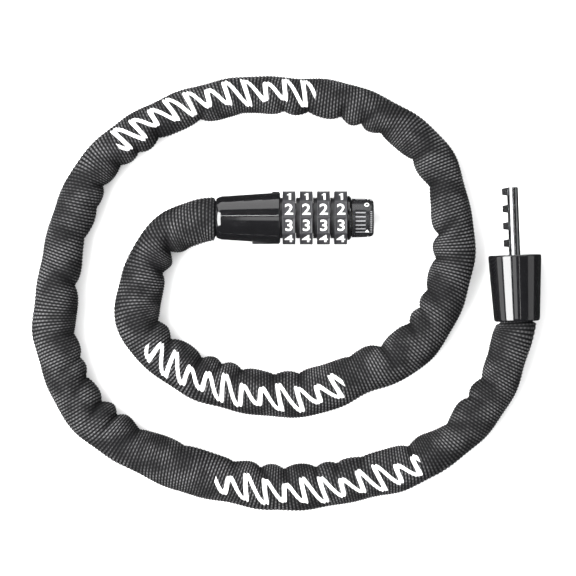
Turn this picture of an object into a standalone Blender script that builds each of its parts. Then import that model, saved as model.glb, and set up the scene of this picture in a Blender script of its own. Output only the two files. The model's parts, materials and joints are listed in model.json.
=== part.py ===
"""Four-dial combination lock on a fabric-sleeved chain, lying open on a table.

Units are metres, +Z is up, and the lock barrel's axis runs along +X towards its mouth.
The origin is under the middle of the barrel, on the table.
"""

import math

import bmesh
import bpy
from mathutils import Matrix, Vector

MM = 0.001

# Driving dimensions.
GAP = 0.3 * MM                    # what touching pieces keep between them
ROUND_SIDES = 24
INDEX_SIDES = 20                  # two points for each of the ten index positions
DIAL_CORNER_R = 12.2 * MM
DIAL_CENTRES = (-2.64 * MM, 4.93 * MM, 12.50 * MM, 20.07 * MM)
DIAL_BAND = 5.6 * MM              # width of the numbered facets
DIAL_NECK = 1.67 * MM             # plain neck on the tail side of the facets
NECK_R = 8.9 * MM
BARREL_AXIS_Z = DIAL_CORNER_R
BARREL_TAIL_X = -34.5 * MM
BARREL_MOUTH_X = 34.5 * MM
HOUSING_FRONT_X = -6.5 * MM
CORE_OUTER_R = 3.85 * MM
CORE_BORE_R = 2.95 * MM
WHEEL_BORE_R = 4.2 * MM
GATE_R = 5.1 * MM                 # clears the pin's teeth
WHEEL_ROOT_R, WHEEL_TIP_R = 6.8 * MM, 7.5 * MM
LAND_R, GROOVE_R, FREE_R = 7.2 * MM, 7.9 * MM, 8.1 * MM
WHEEL_START, DISC_START, WHEEL_END = -2.4 * MM, 1.2 * MM, 2.2 * MM
TAIL_ANCHOR_X = -31.5 * MM
ANCHOR_PIN = (1.5 * MM, -9.0 * MM, 6.8 * MM)  # radius, bottom and top, pressed in from below

PLUG_LENGTH = 29.1 * MM
PLUG_BASE_R, PLUG_MOUTH_R = 10.05 * MM, 11.7 * MM
PLUG_AXIS_Z = 11.9 * MM
PLUG_BASE = (97.7 * MM, -45.4 * MM)
PLUG_HEADING = math.radians(92)
PLUG_ANCHOR_X = 3.2 * MM
CUP_FLOOR_X = 17.5 * MM
PIN_R = 2.45 * MM
PIN_REACH = 29.9 * MM             # how far the pin stands out of the cup's mouth
TOOTH_R = 4.6 * MM
TOOTH_THICK = 2.2 * MM
SEATED_MOUTH_X = 24.9 * MM        # where the plug's mouth stops on the barrel when it is locked

SLEEVE_R, SLEEVE_INNER_R = 9.0 * MM, 8.2 * MM
SLEEVE_AXIS_Z = 9.05 * MM
SLEEVE_SIDES = 12
SLEEVE_STEPS = 64
END_LIFT = 38 * MM                # length over which the sleeve climbs to each fitting
LINK_COUNT = 35                   # odd, so that both end links lie flat on upright anchor pins
LINK_WIRE = 2.6 * MM
LINK_HALF_WIDTH = 6.35 * MM
LINK_PLAY = 1.9 * MM              # slack of each joint of the loosely laid chain

# The sleeve's centre line from the barrel to the plug, chosen by hand, in millimetres.
ROUTE = (
    (-35.0, 0.0), (-43.0, -1.6), (-54.0, -6.0), (-62.5, -14.5), (-67.5, -27.5), (-69.8, -41.0),
    (-65.5, -53.0), (-55.0, -63.0), (-38.0, -71.6), (-16.0, -77.6), (6.0, -77.2), (28.0, -69.3),
    (47.0, -60.3), (60.0, -47.5), (67.6, -30.0), (70.3, -9.0), (67.0, 12.5), (58.5, 29.5),
    (44.0, 42.0), (24.0, 50.4), (-2.0, 54.3), (-25.0, 53.5), (-50.0, 48.0), (-71.0, 36.4),
    (-88.0, 22.5), (-95.8, 6.0), (-102.0, -13.0), (-105.4, -33.0), (-105.8, -52.0),
    (-100.5, -72.0), (-88.0, -89.3), (-68.5, -102.6), (-46.0, -111.5), (-20.0, -118.0),
    (8.0, -118.6), (36.0, -113.3), (60.0, -104.6), (77.5, -89.8), (90.5, -71.0), (97.7, -46.0),
)

FINISHES = {
    "gloss_black_shell": ((0.012, 0.012, 0.014), 0.16, 0.0),
    "dial_plastic": ((0.03, 0.03, 0.032), 0.3, 0.0),
    "polished_steel": ((0.62, 0.63, 0.65), 0.14, 1.0),
    "spring_steel": ((0.45, 0.46, 0.48), 0.3, 1.0),
    "brass": ((0.72, 0.55, 0.26), 0.3, 1.0),
    "chain_steel": ((0.5, 0.5, 0.5), 0.35, 1.0),
    "sleeve_fabric": ((0.035, 0.035, 0.037), 0.85, 0.0),
}


def clear_scene():
    """Removes every object of the open file."""
    for item in list(bpy.data.objects):
        bpy.data.objects.remove(item, do_unlink=True)


def make_finish(name):
    """A Principled material from the table of finishes."""
    colour, roughness, metallic = FINISHES[name]
    material = bpy.data.materials.new(name)
    material.use_nodes = True
    shader = material.node_tree.nodes["Principled BSDF"]
    shader.inputs["Base Color"].default_value = (*colour, 1.0)
    shader.inputs["Roughness"].default_value = roughness
    shader.inputs["Metallic"].default_value = metallic
    return material


def add_piece(name, mesh_builder, finish, parent=None, origin=(0.0, 0.0, 0.0)):
    """Puts a bmesh into the scene as one named object with its own material."""
    bmesh.ops.recalc_face_normals(mesh_builder, faces=mesh_builder.faces)
    mesh = bpy.data.meshes.new(name)
    mesh_builder.to_mesh(mesh)
    mesh_builder.free()
    mesh.shade_smooth()
    mesh.set_sharp_from_angle(angle=math.radians(35))
    piece = bpy.data.objects.new(name, mesh)
    bpy.context.collection.objects.link(piece)
    piece.data.materials.append(make_finish(finish))
    piece.parent = parent
    piece.location = origin
    return piece


def add_axis(name, location, heading=0.0):
    """An empty whose local X axis is a sub-assembly's centre line."""
    axis = bpy.data.objects.new(name, None)
    axis.location = location
    axis.rotation_euler = (0.0, 0.0, heading)
    bpy.context.collection.objects.link(axis)
    return axis


def ring_about_x(x, radius, sides):
    """Points round the X axis, the first one straight up; radius may depend on the point's index."""
    points = []
    for i in range(sides):
        angle = 2 * math.pi * i / sides
        r = radius(i) if callable(radius) else radius
        points.append(Vector((x, -r * math.sin(angle), r * math.cos(angle))))
    return points


def loft(rings, closed):
    """Bridges rings of points; closed joins the last ring to the first, else both ends are capped."""
    shell = bmesh.new()
    loops = [[shell.verts.new(point) for point in ring] for ring in rings]
    pairs = list(zip(loops, loops[1:]))
    if closed:
        pairs.append((loops[-1], loops[0]))
    else:
        shell.faces.new(loops[0])
        shell.faces.new(loops[-1])
    for first, second in pairs:
        for i in range(len(first)):
            j = (i + 1) % len(first)
            shell.faces.new((first[i], first[j], second[j], second[i]))
    return shell


def turned(profile, closed=True, sides=ROUND_SIDES):
    """A turned piece about X from (x, radius) stations."""
    return loft([ring_about_x(x, radius, sides) for x, radius in profile], closed)


def box(low, high):
    """An upright block between two corners."""
    shell = bmesh.new()
    bmesh.ops.create_cube(shell, size=1.0)
    size = [h - l for l, h in zip(low, high)]
    middle = Vector([(h + l) / 2 for l, h in zip(low, high)])
    placing = Matrix.Translation(middle) @ Matrix.Diagonal((*size, 1.0))
    bmesh.ops.transform(shell, matrix=placing, verts=shell.verts)
    return shell


def upright_pin(x, radius, low, high, sides=16):
    """A pin along Z that crosses the local axis at x."""
    rings = []
    for z in (low, high):
        angles = [2 * math.pi * i / sides for i in range(sides)]
        rings.append([Vector((x + radius * math.cos(a), radius * math.sin(a), z)) for a in angles])
    return loft(rings, closed=False)


def combine(piece, tool_builder, operation, label):
    """Applies a Boolean with a throwaway tool to a piece."""
    bmesh.ops.recalc_face_normals(tool_builder, faces=tool_builder.faces)
    mesh = bpy.data.meshes.new(label)
    tool_builder.to_mesh(mesh)
    tool_builder.free()
    tool = bpy.data.objects.new(label, mesh)
    bpy.context.collection.objects.link(tool)
    tool.parent = piece.parent
    tool.location = piece.location
    tool.hide_render = True
    tool.display_type = "WIRE"
    modifier = piece.modifiers.new(label, "BOOLEAN")
    modifier.operation = operation
    modifier.solver = "EXACT"
    modifier.object = tool


def even(values):
    """Radius by index: the first value on the ten index lines, the second between them."""
    on_line, between = values
    return lambda i: on_line if i % 2 == 0 else between


def gate(bore):
    """Radius by index of a bore with the gate that lets the pin's teeth through on the +Y side."""
    side = INDEX_SIDES * 3 // 4
    return lambda i: GATE_R if abs(i - side) <= 1 else bore


# --- Barrel ---------------------------------------------------------------------------------


def build_tail_housing(axis):
    """Tapered tail shell, with the chain's chamber behind and the dials' recess in front."""
    tail, front = BARREL_TAIL_X, HOUSING_FRONT_X
    shell = turned([
        (tail, 8.3 * MM), (tail + 0.5 * MM, 8.75 * MM), (tail + 2.2 * MM, 9.5 * MM),
        (front - 0.3 * MM, 11.2 * MM), (front, 10.9 * MM),
        (front, 9.25 * MM), (front - 5.5 * MM, 9.25 * MM), (front - 5.5 * MM, 4.2 * MM),
        (-21 * MM, 4.2 * MM), (-21 * MM, 7.4 * MM), (tail + 1.5 * MM, 7.4 * MM),
        (tail + 1.5 * MM, 7.95 * MM), (tail, 7.95 * MM),
    ])
    housing = add_piece("tail_housing", shell, "gloss_black_shell", axis)
    combine(housing, box((-18.9 * MM, -11.5 * MM, -1.6 * MM), (-6.9 * MM, -9.6 * MM, 1.6 * MM)),
            "UNION", "index_rib_front_tool")
    combine(housing, box((-10.1 * MM, 9.9 * MM, -1.6 * MM), (-6.9 * MM, 11.6 * MM, 1.6 * MM)),
            "UNION", "index_rib_back_tool")
    hole = upright_pin(TAIL_ANCHOR_X, 1.8 * MM, -14 * MM, 5 * MM)
    combine(housing, hole, "DIFFERENCE", "anchor_hole_tool")
    add_piece("tail_anchor_pin", upright_pin(TAIL_ANCHOR_X, *ANCHOR_PIN), "chain_steel", axis)


def build_core(axis):
    """Fixed core tube: its bore takes the pin and its slot takes the pin's teeth."""
    start, end = -17 * MM, BARREL_MOUTH_X - 0.5 * MM
    core = add_piece("core_tube", turned([
        (start, CORE_OUTER_R), (end, CORE_OUTER_R), (end, CORE_BORE_R), (start, CORE_BORE_R),
    ]), "brass", axis)
    slot = box((-7.5 * MM, 1.0 * MM, -1.4 * MM), (end + 1 * MM, 6 * MM, 1.4 * MM))
    combine(core, slot, "DIFFERENCE", "tooth_slot_tool")


def build_dial(axis, number, centre):
    """One number ring: ten facets, a plain neck, index splines for its wheel and detent notches."""
    half, bevel = DIAL_BAND / 2, 0.45 * MM
    flat = math.cos(math.pi / 10)
    facets = even((DIAL_CORNER_R, DIAL_CORNER_R * flat))
    shoulder = even((DIAL_CORNER_R - bevel, (DIAL_CORNER_R - bevel) * flat))
    splines = even((GROOVE_R, LAND_R))
    neck = -half - DIAL_NECK
    stations = [
        (neck, NECK_R), (-half, NECK_R), (-half, shoulder), (-half + bevel, facets),
        (half - bevel, facets), (half, shoulder), (half, splines), (DISC_START + 0.1 * MM, splines),
        (DISC_START + 0.1 * MM, FREE_R), (-half - 0.3 * MM, FREE_R), (-half - 0.3 * MM, splines),
        (neck, splines),
    ]
    add_piece(f"number_ring_{number}", turned(stations, sides=INDEX_SIDES), "dial_plastic", axis,
              (centre, 0.0, 0.0))


def build_code_wheel(axis, number, centre):
    """The wheel inside a number ring, whose gate has to face the pin's teeth to let them pass."""
    teeth = even((WHEEL_TIP_R, WHEEL_ROOT_R))
    body_r, hollow_r = WHEEL_ROOT_R - 0.2 * MM, GATE_R + 0.2 * MM
    stations = [
        (WHEEL_START, body_r), (DISC_START, body_r), (DISC_START, teeth),
        (WHEEL_END, teeth), (WHEEL_END, gate(WHEEL_BORE_R)), (DISC_START, gate(WHEEL_BORE_R)),
        (DISC_START, hollow_r), (WHEEL_START, hollow_r),
    ]
    add_piece(f"code_wheel_{number}", turned(stations, sides=INDEX_SIDES), "brass", axis,
              (centre, 0.0, 0.0))


def build_bush(axis, number, centre):
    """Keyed spacer before a code wheel; its spring finger clicks in the number ring's notches."""
    previous_end = centre - (DIAL_CENTRES[1] - DIAL_CENTRES[0]) + WHEEL_END
    start, end = previous_end + GAP - centre, WHEEL_START - GAP
    body_r, finger_r = 6.5 * MM, 7.55 * MM
    lowest = INDEX_SIDES // 2
    stations = [
        (start, body_r), (-4.35 * MM, body_r), (-4.2 * MM, lambda i: finger_r if i == lowest else body_r),
        (-3.75 * MM, lambda i: finger_r if i == lowest else body_r), (-3.6 * MM, body_r), (end, body_r),
        (end, gate(WHEEL_BORE_R)), (start, gate(WHEEL_BORE_R)),
    ]
    add_piece(f"click_bush_{number}", turned(stations, sides=INDEX_SIDES), "spring_steel", axis,
              (centre, 0.0, 0.0))


def build_barrel_end(axis):
    """End flange, setting collar, the collar's follower and the spring behind the wheels."""
    flange_x = DIAL_CENTRES[-1] + DIAL_BAND / 2 + GAP
    bore = 7.0 * MM
    flange = turned([(flange_x, 9.7 * MM), (flange_x + 0.6 * MM, 9.7 * MM), (24.7 * MM, 8.6 * MM),
                     (24.7 * MM, bore), (flange_x, bore)])
    add_piece("end_flange", flange, "gloss_black_shell", axis)
    collar = turned([(25.0 * MM, 8.5 * MM), (33.2 * MM, 8.3 * MM), (BARREL_MOUTH_X, 7.3 * MM),
                     (BARREL_MOUTH_X, 5.0 * MM), (25.0 * MM, 5.0 * MM)])
    add_piece("setting_collar", collar, "gloss_black_shell", axis)
    last_wheel = DIAL_CENTRES[-1] + WHEEL_END
    follower = turned([(last_wheel + GAP, 6.7 * MM), (24.7 * MM, 6.7 * MM), (24.7 * MM, GATE_R),
                       (last_wheel + GAP, GATE_R)], sides=INDEX_SIDES)
    add_piece("collar_follower", follower, "brass", axis)
    build_stack_spring(axis)


def build_stack_spring(axis):
    """Coil spring that holds the wheels and spacers against the follower."""
    start, turns, per_turn, wire = -11.3 * MM, 3, 12, 0.35 * MM
    pitch, coil_r = 1.05 * MM, 5.6 * MM
    sections = []
    for step in range(turns * per_turn + 1):
        angle = 2 * math.pi * step / per_turn
        x = start + pitch * step / per_turn
        outward = Vector((0.0, -math.sin(angle), math.cos(angle)))
        centre = Vector((x, 0.0, 0.0)) + coil_r * outward
        along = Vector((1.0, 0.0, 0.0))
        corners = [math.pi / 4 + math.pi / 2 * k for k in range(4)]
        sections.append([centre + wire * (math.cos(c) * outward + math.sin(c) * along) for c in corners])
    add_piece("stack_spring", loft(sections, closed=False), "spring_steel", axis)


def build_barrel():
    """The whole lock barrel on its own axis."""
    axis = add_axis("barrel_axis", (0.0, 0.0, BARREL_AXIS_Z))
    build_tail_housing(axis)
    build_core(axis)
    for number, centre in enumerate(DIAL_CENTRES, start=1):
        build_dial(axis, number, centre)
        build_code_wheel(axis, number, centre)
        build_bush(axis, number, centre)
    build_barrel_end(axis)


# --- Plug -----------------------------------------------------------------------------------


def build_plug_shell(axis):
    """Conical shell: a cup that swallows the setting collar, and the chain's chamber behind it."""
    slope = (PLUG_MOUTH_R - PLUG_BASE_R) / PLUG_LENGTH
    edge = 0.5 * MM
    shell = turned([
        (0.0, PLUG_BASE_R - edge), (edge, PLUG_BASE_R + slope * edge),
        (PLUG_LENGTH - edge, PLUG_MOUTH_R - slope * edge), (PLUG_LENGTH, PLUG_MOUTH_R - edge),
        (PLUG_LENGTH, 9.8 * MM), (PLUG_LENGTH - 1.2 * MM, 9.3 * MM), (12 * MM, 9.3 * MM),
        (12 * MM, 6 * MM), (10 * MM, 6 * MM), (10 * MM, 7.4 * MM), (1.5 * MM, 7.4 * MM),
        (1.5 * MM, 7.95 * MM), (0.0, 7.95 * MM),
    ])
    plug = add_piece("plug_shell", shell, "gloss_black_shell", axis)
    hole = upright_pin(PLUG_ANCHOR_X, 1.8 * MM, -14 * MM, 5 * MM)
    combine(plug, hole, "DIFFERENCE", "plug_anchor_hole_tool")
    notch = box((PLUG_LENGTH - 2.6 * MM, 8.6 * MM, -1.0 * MM), (PLUG_LENGTH + 1 * MM, 12.5 * MM, 1.0 * MM))
    combine(plug, notch, "DIFFERENCE", "rim_notch_tool")


def pin_comb():
    """Outline of the four trapezoid teeth, extruded to their thickness, on the local +Y side."""
    seat = PLUG_LENGTH + SEATED_MOUTH_X
    root_y, valley_y = 1.0 * MM, 2.0 * MM
    outline = [(CUP_FLOOR_X, root_y), (CUP_FLOOR_X, valley_y)]
    for centre in reversed(DIAL_CENTRES):
        middle = seat - centre + 0.6 * MM
        outline += [(middle - 1.9 * MM, valley_y), (middle - 1.5 * MM, TOOTH_R)]
        outline += [(middle + 1.3 * MM, TOOTH_R), (middle + 1.7 * MM, valley_y)]
    outline.append((outline[-1][0], root_y))
    rings = [[Vector((x, y, z)) for x, y in outline] for z in (-TOOTH_THICK / 2, TOOTH_THICK / 2)]
    return loft(rings, closed=False)


def build_plug():
    """The plug, its locking pin and what holds the chain's end."""
    axis = add_axis("plug_axis", (*PLUG_BASE, PLUG_AXIS_Z), PLUG_HEADING)
    build_plug_shell(axis)
    insert = turned([(12.3 * MM, 9.0 * MM), (CUP_FLOOR_X, 9.0 * MM), (CUP_FLOOR_X, 5.0 * MM),
                     (16.2 * MM, 5.0 * MM), (16.2 * MM, 2.8 * MM), (12.3 * MM, 2.8 * MM)])
    add_piece("plug_insert", insert, "gloss_black_shell", axis)
    tip = PLUG_LENGTH + PIN_REACH
    pin = add_piece("locking_pin", turned([
        (11.2 * MM, 4.4 * MM), (12.0 * MM, 4.4 * MM), (12.0 * MM, PIN_R),
        (tip - 0.8 * MM, PIN_R), (tip, PIN_R - 0.7 * MM),
    ], closed=False, sides=20), "polished_steel", axis)
    combine(pin, pin_comb(), "UNION", "teeth_tool")
    add_piece("plug_anchor_pin", upright_pin(PLUG_ANCHOR_X, *ANCHOR_PIN), "chain_steel", axis)


# --- Sleeved chain --------------------------------------------------------------------------


def catmull_rom(p0, p1, p2, p3, t):
    """A point of the uniform Catmull-Rom segment from p1 to p2."""
    a = 2 * p1
    b = p2 - p0
    c = 2 * p0 - 5 * p1 + 4 * p2 - p3
    d = 3 * p1 - p0 - 3 * p2 + p3
    return 0.5 * (a + b * t + c * t * t + d * t * t * t)


def smooth_line(points, per_segment=12):
    """A dense smooth line through the points."""
    ends = [2 * points[0] - points[1], *points, 2 * points[-1] - points[-2]]
    line = []
    for i in range(len(points) - 1):
        for step in range(per_segment):
            line.append(catmull_rom(*ends[i:i + 4], step / per_segment))
    line.append(points[-1])
    return line


def lengths(line):
    """Distance along a line at each of its points."""
    along = [0.0]
    for a, b in zip(line, line[1:]):
        along.append(along[-1] + (b - a).length)
    return along


def resample(line, count):
    """Evenly spaced points along a line."""
    along = lengths(line)
    result, k = [], 0
    for i in range(count):
        target = along[-1] * i / (count - 1)
        while k < len(line) - 2 and along[k + 1] < target:
            k += 1
        share = (target - along[k]) / (along[k + 1] - along[k])
        result.append(line[k].lerp(line[k + 1], min(1.0, share)))
    return result


def ease(t):
    """Smooth step from 0 to 1."""
    t = max(0.0, min(1.0, t))
    return t * t * (3 - 2 * t)


def sleeve_line(count):
    """The sleeve's centre line, lifted to the barrel's and the plug's axes at its ends."""
    flat = [Vector((x * MM, y * MM, 0.0)) for x, y in ROUTE]
    line = resample(smooth_line(flat), count)
    along = lengths(line)
    for point, s in zip(line, along):
        near = (BARREL_AXIS_Z - SLEEVE_AXIS_Z) * (1 - ease(s / END_LIFT))
        far = (PLUG_AXIS_Z - SLEEVE_AXIS_Z) * (1 - ease((along[-1] - s) / END_LIFT))
        point.z = SLEEVE_AXIS_Z + near + far
    return line


def build_sleeve():
    """Woven sleeve: an open-ended fabric tube along the centre line."""
    line = sleeve_line(SLEEVE_STEPS)
    plug_way = Vector((math.cos(PLUG_HEADING), math.sin(PLUG_HEADING), 0.0))
    outer, inner = [], []
    for i, centre in enumerate(line):
        tangent = (line[min(i + 1, len(line) - 1)] - line[max(i - 1, 0)]).normalized()
        if i == 0:
            tangent = Vector((-1.0, 0.0, 0.0))
        if i == len(line) - 1:
            tangent = plug_way
        side = Vector((0.0, 0.0, 1.0)).cross(tangent).normalized()
        up = tangent.cross(side)
        spokes = []
        for k in range(SLEEVE_SIDES):
            angle = 2 * math.pi * (k + 0.5) / SLEEVE_SIDES
            spokes.append(math.cos(angle) * side + math.sin(angle) * up)
        outer.append([centre + SLEEVE_R * spoke for spoke in spokes])
        inner.append([centre + SLEEVE_INNER_R * spoke for spoke in spokes])
    add_piece("fabric_sleeve", loft(outer + inner[::-1], closed=True), "sleeve_fabric")


def chain_line(pitch):
    """The line the links' joints follow: outside the bends, so that each link stays amid the sleeve."""
    line = sleeve_line(600)
    step = lengths(line)[-1] / (len(line) - 1)
    span = 12
    moved = []
    for i, point in enumerate(line):
        inward = Vector((0.0, 0.0, 0.0))
        if span <= i < len(line) - span:
            inward = (line[i - span] + line[i + span] - 2 * point) / (span * step) ** 2
        inward.z = 0.0
        moved.append(point - inward * pitch * pitch / 16)
    return moved


def walk(line, start, pitch):
    """Joint points a chord of one pitch apart along a line, from a start point before it."""
    joints, k = [start], 0
    while True:
        while k < len(line) and (line[k] - joints[-1]).length < pitch:
            k += 1
        if k >= len(line):
            return joints
        a, b = line[k - 1], line[k]
        low, high = 0.0, 1.0
        for _ in range(30):
            share = (low + high) / 2
            if (a.lerp(b, share) - joints[-1]).length < pitch:
                low = share
            else:
                high = share
        joints.append(a.lerp(b, low))


def chain_joints():
    """Where neighbouring links meet, from the barrel's anchor pin to the plug's."""
    plug_way = Vector((math.cos(PLUG_HEADING), math.sin(PLUG_HEADING), 0.0))
    seat = (LINK_WIRE + LINK_PLAY) / 2
    barrel_pin = Vector((TAIL_ANCHOR_X, 0.0, BARREL_AXIS_Z))
    plug_pin = Vector((*PLUG_BASE, PLUG_AXIS_Z)) + PLUG_ANCHOR_X * plug_way
    first_way, last_way = Vector((-1.0, -0.2, 0.0)).normalized(), plug_way
    middle = chain_line(23 * MM)
    for _ in range(4):
        start = barrel_pin - seat * first_way
        end = plug_pin + seat * last_way
        pitch = 23 * MM
        for _ in range(60):
            line = [start, *middle, end]
            joints = walk(line, start, pitch)[:LINK_COUNT]
            miss = (end - joints[-1]).length - pitch if len(joints) == LINK_COUNT else -pitch / 4
            if abs(miss) < 0.0000005:
                break
            pitch += miss / LINK_COUNT
        joints.append(end)
        first_way = (joints[1] - joints[0]).normalized()
        last_way = (joints[-1] - joints[-2]).normalized()
    return joints


def build_link(number, start, end):
    """One welded link of square wire: odd links lie flat, even links stand on edge."""
    way = (end - start).normalized()
    flat = Vector((0.0, 0.0, 1.0)).cross(way).normalized()
    across, normal = (flat, way.cross(flat)) if number % 2 else (way.cross(flat), flat)
    bow_r = LINK_HALF_WIDTH - LINK_WIRE / 2
    reach = (end - start).length / 2 + (LINK_WIRE + LINK_PLAY) / 2 - bow_r
    middle = (start + end) / 2
    half = LINK_WIRE / 2
    sections = []
    for side in (1, -1):
        for step in range(8):
            angle = math.pi * (step / 7 - 0.5)
            outward = side * (math.cos(angle) * way + math.sin(angle) * across)
            centre = middle + side * reach * way + bow_r * outward
            sections.append([centre + half * (a * outward + b * normal)
                             for a, b in ((-1, -1), (1, -1), (1, 1), (-1, 1))])
    shell = loft(sections, closed=True)
    bmesh.ops.translate(shell, vec=-start, verts=shell.verts)
    add_piece(f"chain_link_{number:02d}", shell, "chain_steel", None, start)


def build_chain():
    """All the links between the two anchor pins."""
    joints = chain_joints()
    for number, (start, end) in enumerate(zip(joints, joints[1:]), start=1):
        build_link(number, start, end)


def main():
    """Builds the lock."""
    clear_scene()
    build_barrel()
    build_plug()
    build_sleeve()
    build_chain()


main()
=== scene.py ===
"""Looks of a four-dial combination chain lock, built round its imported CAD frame."""

from __future__ import annotations

import json
import logging
import math
from dataclasses import dataclass, field
from enum import Enum
from typing import Any, Callable, Iterable, Sequence

import bmesh
import bpy
import numpy as np
from mathutils import Matrix, Vector


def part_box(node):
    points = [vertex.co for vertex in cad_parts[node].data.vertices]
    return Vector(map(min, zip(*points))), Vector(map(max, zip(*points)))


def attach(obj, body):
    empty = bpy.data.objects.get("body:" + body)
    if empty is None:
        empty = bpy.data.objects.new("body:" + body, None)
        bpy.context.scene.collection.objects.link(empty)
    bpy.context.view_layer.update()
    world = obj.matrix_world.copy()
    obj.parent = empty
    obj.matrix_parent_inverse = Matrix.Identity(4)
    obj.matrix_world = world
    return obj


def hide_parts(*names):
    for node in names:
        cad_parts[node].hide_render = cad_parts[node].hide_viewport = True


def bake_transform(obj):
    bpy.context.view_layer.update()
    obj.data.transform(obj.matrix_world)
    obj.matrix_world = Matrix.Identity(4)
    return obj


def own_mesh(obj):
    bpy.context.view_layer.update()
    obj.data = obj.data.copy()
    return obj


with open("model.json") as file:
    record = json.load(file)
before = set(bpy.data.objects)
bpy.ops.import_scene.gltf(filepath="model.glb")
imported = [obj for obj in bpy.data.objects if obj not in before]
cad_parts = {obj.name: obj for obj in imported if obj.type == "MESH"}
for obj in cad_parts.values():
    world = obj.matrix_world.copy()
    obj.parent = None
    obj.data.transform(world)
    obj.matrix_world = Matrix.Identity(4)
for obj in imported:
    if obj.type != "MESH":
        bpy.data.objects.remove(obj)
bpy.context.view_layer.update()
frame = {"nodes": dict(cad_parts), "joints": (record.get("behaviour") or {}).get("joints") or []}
MM = 0.001
log = logging.getLogger("chain_lock")


# --- Node helpers -----------------------------------------------------------------------------


class Socket:
    """A shader output that Python operators turn into Math nodes."""

    def __init__(self, shader: "Shader", output: Any) -> None:
        """Keeps the material being built and the output socket.

        Args:
            shader: the material under construction.
            output: the node output that holds the value.
        """
        self.shader = shader
        self.output = output

    def _math(self, operation: str, *values: Any) -> "Socket":
        """Adds a Math node on these values."""
        return self.shader.node("ShaderNodeMath", {"operation": operation}, dict(enumerate(values)))

    def __add__(self, other: Any) -> "Socket":
        """self + other."""
        return self._math("ADD", self, other)

    __radd__ = __add__

    def __sub__(self, other: Any) -> "Socket":
        """self - other."""
        return self._math("SUBTRACT", self, other)

    def __rsub__(self, other: Any) -> "Socket":
        """other - self."""
        return self._math("SUBTRACT", other, self)

    def __mul__(self, other: Any) -> "Socket":
        """self * other."""
        return self._math("MULTIPLY", self, other)

    __rmul__ = __mul__

    def __truediv__(self, other: Any) -> "Socket":
        """self / other."""
        return self._math("DIVIDE", self, other)

    def __pow__(self, other: Any) -> "Socket":
        """self ** other."""
        return self._math("POWER", self, other)

    def __mod__(self, other: Any) -> "Socket":
        """The remainder, positive also for negative values."""
        return self._math("FLOORED_MODULO", self, other)

    def sine(self) -> "Socket":
        """sin(self)."""
        return self._math("SINE", self)

    def absolute(self) -> "Socket":
        """abs(self)."""
        return self._math("ABSOLUTE", self)

    def floor(self) -> "Socket":
        """floor(self)."""
        return self._math("FLOOR", self)

    def ramp(self, low: float, high: float) -> "Socket":
        """Goes smoothly from 0 at low to 1 at high.

        Args:
            low: value where the ramp starts.
            high: value where it ends; it may be below low.

        Returns:
            The ramp's value.
        """
        if low > high:
            return 1 - self.ramp(high, low)
        return self.shader.node("ShaderNodeMapRange", {"interpolation_type": "SMOOTHSTEP"},
                                {"Value": self, "From Min": low, "From Max": high})


class Shader:
    """Builds one Principled material node by node."""

    def __init__(self, name: str) -> None:
        """Starts a material with only a Principled shader.

        Args:
            name: the material's name.
        """
        self.material = bpy.data.materials.new(name)
        self.material.use_nodes = True
        self.tree = self.material.node_tree
        self.principled = self.tree.nodes["Principled BSDF"]

    def node(self, kind: str, settings: dict[str, Any] | None = None,
             values: dict[Any, Any] | None = None, output: Any = 0) -> Socket:
        """Adds a node, sets it up and returns one of its outputs.

        Args:
            kind: the node's type.
            settings: its own properties, such as a Math node's operation, set first.
            values: numbers, colours or Sockets for its inputs, by name or index.
            output: name or index of the wanted output.

        Returns:
            The output, wrapped for further maths.
        """
        made = self.tree.nodes.new(kind)
        for key, value in (settings or {}).items():
            setattr(made, key, value)
        for key, value in (values or {}).items():
            if isinstance(value, Socket):
                self.tree.links.new(value.output, made.inputs[key])
            else:
                made.inputs[key].default_value = value
        return Socket(self, made.outputs[output])

    def coordinate(self, axis: str, source: str = "Object") -> Socket:
        """One coordinate of the surface point.

        Args:
            axis: X, Y or Z.
            source: Object or UV.

        Returns:
            The coordinate.
        """
        point = self.node("ShaderNodeTexCoord", output=source)
        return self.node("ShaderNodeSeparateXYZ", values={0: point}, output=axis)

    def noise(self, scale: float, detail: float = 4.0, stretch: Sequence[float] = (1, 1, 1),
              source: str = "Object") -> Socket:
        """Fractal noise of the surface point, from 0 to 1.

        Args:
            scale: noise scale per metre.
            detail: octaves.
            stretch: factor along each axis.
            source: Object or UV.

        Returns:
            The noise value.
        """
        point = self.node("ShaderNodeTexCoord", output=source)
        mapped = self.node("ShaderNodeMapping", values={"Vector": point, "Scale": stretch})
        return self.node("ShaderNodeTexNoise", values={"Vector": mapped, "Scale": scale, "Detail": detail})

    def blend_colour(self, factor: Socket, low: Sequence[float], high: Any) -> Socket:
        """Mixes two colours.

        Args:
            factor: 0 gives low, 1 gives high.
            low: first colour or a Socket.
            high: second colour or a Socket.

        Returns:
            The mixed colour.
        """
        colours = {i: (*c, 1.0) if not isinstance(c, Socket) else c for i, c in ((6, low), (7, high))}
        return self.node("ShaderNodeMix", {"data_type": "RGBA"}, {0: factor, **colours}, output=2)

    def feed(self, name: str, value: Any) -> None:
        """Sets or links one input of the Principled shader."""
        if isinstance(value, Socket):
            self.tree.links.new(value.output, self.principled.inputs[name])
        elif isinstance(value, (tuple, list)):
            self.principled.inputs[name].default_value = (*value, 1.0)
        else:
            self.principled.inputs[name].default_value = value

    def bump(self, height: Socket, distance: float, strength: float = 1.0) -> None:
        """Raises the surface's shading by a height from 0 to 1 times distance in metres."""
        values = {"Height": height, "Distance": distance, "Strength": strength}
        normal = self.node("ShaderNodeBump", values=values, output="Normal")
        self.feed("Normal", normal)


# --- Finishes ---------------------------------------------------------------------------------


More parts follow.
